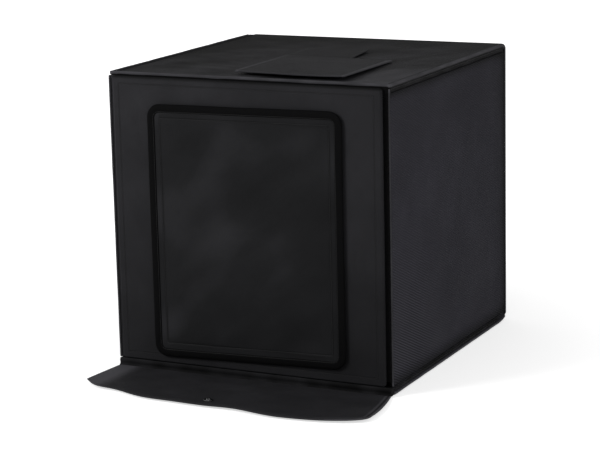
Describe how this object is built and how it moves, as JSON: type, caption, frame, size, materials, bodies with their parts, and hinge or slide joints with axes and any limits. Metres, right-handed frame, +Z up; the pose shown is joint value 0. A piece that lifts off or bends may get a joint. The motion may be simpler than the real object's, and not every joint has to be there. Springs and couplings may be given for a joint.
{
  "type": "light tent cube",
  "caption": "Folding cube light tent: fabric-covered boards hinged as a collapsing tube, door with window flap, top camera port, closure flap and light bars.",
  "frame": {"origin": "middle of the box's footprint, on the surface it stands on", "axes": "+X to the right of the door, -Y out of the door, +Z up"},
  "size_m": [0.414, 0.556, 0.4027],
  "materials": {
    "black_cloth": "smooth woven polyester, satin",
    "ribbed_cloth": "fine ribbed woven polyester",
    "window_cloth": "soft matt woven polyester",
    "binding": "satin bias binding",
    "hook_loop": "hook and loop tape",
    "silver_lining": "silvered reflective fabric",
    "board": "plain stiffener board",
    "dark_metal": "dark nickel",
    "aluminium": "extruded, satin",
    "led_board": "white solder mask with light packages",
    "black_plastic": "moulded, fine texture"
  },
  "bodies": {
    "base": {"base_cover": "black_cloth", "base_board": "board", "base_lining": "silver_lining", "base_front_seam": "black_cloth", "base_rear_seam": "black_cloth", "base_left_seam": "black_cloth", "base_right_seam": "ribbed_cloth"},
    "left_wall": {"left_wall_cover": "ribbed_cloth", "left_wall_board": "board", "left_wall_lining": "silver_lining", "left_wall_front_seam": "black_cloth", "left_wall_loop_tape": "hook_loop"},
    "right_wall": {"right_wall_cover": "ribbed_cloth", "right_wall_board": "board", "right_wall_lining": "silver_lining", "right_wall_front_loop_tape": "hook_loop", "right_wall_rear_loop_tape": "hook_loop"},
    "back_wall": {"back_wall_cover": "black_cloth", "back_wall_board": "board", "back_wall_lining": "silver_lining", "back_wall_hook_tape": "hook_loop", "back_wall_snap_stud": "dark_metal"},
    "top": {"top_cover": "black_cloth", "top_board": "board", "top_lining": "silver_lining", "top_left_seam": "black_cloth", "top_right_seam": "black_cloth", "top_front_loop_tape": "hook_loop", "top_rear_loop_tape": "hook_loop", "top_left_loop_runner": "hook_loop", "top_right_loop_runner": "hook_loop", "port_hinge_strip": "black_cloth"},
    "port_flap": {"port_flap": "black_cloth"},
    "door": {"door_cover": "black_cloth", "door_board": "board", "door_lining": "silver_lining", "door_hinge_seam": "black_cloth", "door_hook_tape": "hook_loop", "window_loop_ring": "hook_loop"},
    "window_flap": {"window_flap_binding": "binding", "window_flap_panel": "window_cloth"},
    "closure_flap": {"closure_flap": "black_cloth", "closure_snap_rivet": "dark_metal", "closure_snap_socket": "dark_metal"},
    "front_bar": {"front_bar_channel": "aluminium", "front_bar_led_board": "led_board", "front_bar_end_cap": "black_plastic", "front_bar_jack_cap": "black_plastic", "front_bar_left_hook_pad": "hook_loop", "front_bar_right_hook_pad": "hook_loop"},
    "rear_bar": {"rear_bar_channel": "aluminium", "rear_bar_led_board": "led_board", "rear_bar_end_cap": "black_plastic", "rear_bar_jack_cap": "black_plastic", "rear_bar_left_hook_pad": "hook_loop", "rear_bar_right_hook_pad": "hook_loop"}
  },
  "joints": [
    {"name": "left_wall_fold", "type": "hinge", "parent": "base", "child": "left_wall", "pos_m": [-0.2002, 0, 0.004], "axis": [0, -1, 0], "range_deg": [0, 90]},
    {"name": "top_fold", "type": "hinge", "parent": "left_wall", "child": "top", "pos_m": [-0.1938, 0, 0.382], "axis": [0, 1, 0], "range_deg": [0, 90]},
    {"name": "right_wall_fold", "type": "hinge", "parent": "base", "child": "right_wall", "pos_m": [0.1938, 0, 0.012], "axis": [0, -1, 0], "range_deg": [0, 90]},
    {"name": "back_wall_fold", "type": "hinge", "parent": "base", "child": "back_wall", "pos_m": [0, 0.2102, 0.004], "axis": [-1, 0, 0], "range_deg": [0, 90]},
    {"name": "door_hinge", "type": "hinge", "parent": "left_wall", "child": "door", "pos_m": [-0.2002, -0.204, 0.2], "axis": [0, 0, -1], "range_deg": [0, 180]},
    {"name": "window_flap_hinge", "type": "hinge", "parent": "door", "child": "window_flap", "pos_m": [0, -0.2144, 0.3643], "axis": [-1, 0, 0], "range_deg": [0, 175]},
    {"name": "port_flap_hinge", "type": "hinge", "parent": "top", "child": "port_flap", "pos_m": [0.0383, -0.0013, 0.4023], "axis": [-0.996, 0.0889, 0], "range_deg": [0, 175]},
    {"name": "closure_hinge", "type": "hinge", "parent": "base", "child": "closure_flap", "pos_m": [0, -0.2103, 0.0036], "axis": [-1, 0, 0], "range_deg": [0, 78]},
    {"name": "front_bar_slide", "type": "slide", "parent": "top", "child": "front_bar", "axis": [0, 1, 0], "range_m": [-0.006, 0.012]},
    {"name": "rear_bar_slide", "type": "slide", "parent": "top", "child": "rear_bar", "axis": [0, 1, 0], "range_m": [-0.1, 0.07]}
  ],
  "couplings": [
    {"joint": "top_fold", "follows": "left_wall_fold", "ratio": 1},
    {"joint": "right_wall_fold", "follows": "left_wall_fold", "ratio": 1}
  ]
}
